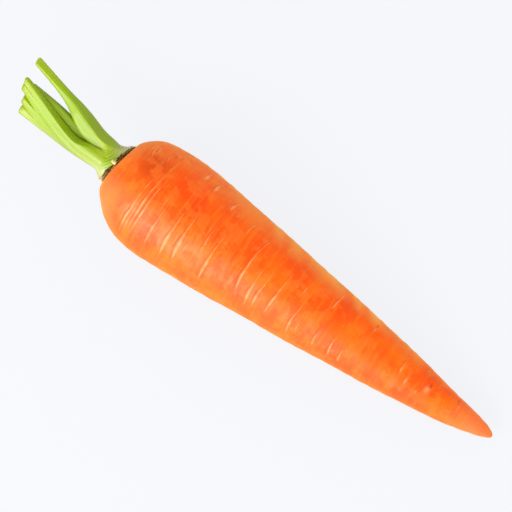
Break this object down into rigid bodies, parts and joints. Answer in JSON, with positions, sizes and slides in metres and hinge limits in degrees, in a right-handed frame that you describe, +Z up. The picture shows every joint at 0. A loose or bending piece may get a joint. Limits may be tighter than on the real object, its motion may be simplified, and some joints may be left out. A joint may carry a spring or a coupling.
{
  "type": "carrot",
  "caption": "Fresh tapering orange carrot root lying on its side, with a tuft of short-cut green leaf stalks at its crown.",
  "frame": {"origin": "On the surface the carrot lies on, under the middle of its whole box, stalks included.", "axes": "+X along the length towards the root's tip, +Y across, on the side that the separate leaf stalk leans to, +Z up from the surface."},
  "size_m": [0.2226, 0.0436, 0.0441],
  "materials": {
    "carrot_skin": "washed, satin, slightly moist root skin",
    "leaf_stalk": "smooth fresh green stalk, satin",
    "dry_leaf_base": "dry, dark brown, papery and dull",
    "broken_stalk": "pale cream torn plant tissue, matt"
  },
  "bodies": {
    "root": {"taproot": "carrot_skin", "leaf_stalk_1": "leaf_stalk", "leaf_stalk_2": "leaf_stalk", "leaf_stalk_3": "leaf_stalk", "leaf_stalk_4": "leaf_stalk", "leaf_stalk_5": "leaf_stalk", "leaf_stalk_6": "leaf_stalk", "leaf_stalk_7": "leaf_stalk", "dry_leaf_base_1": "dry_leaf_base", "dry_leaf_base_2": "dry_leaf_base", "dry_leaf_base_3": "dry_leaf_base", "dry_leaf_base_4": "dry_leaf_base", "broken_stalk_stump": "broken_stalk"}
  },
  "joints": []
}
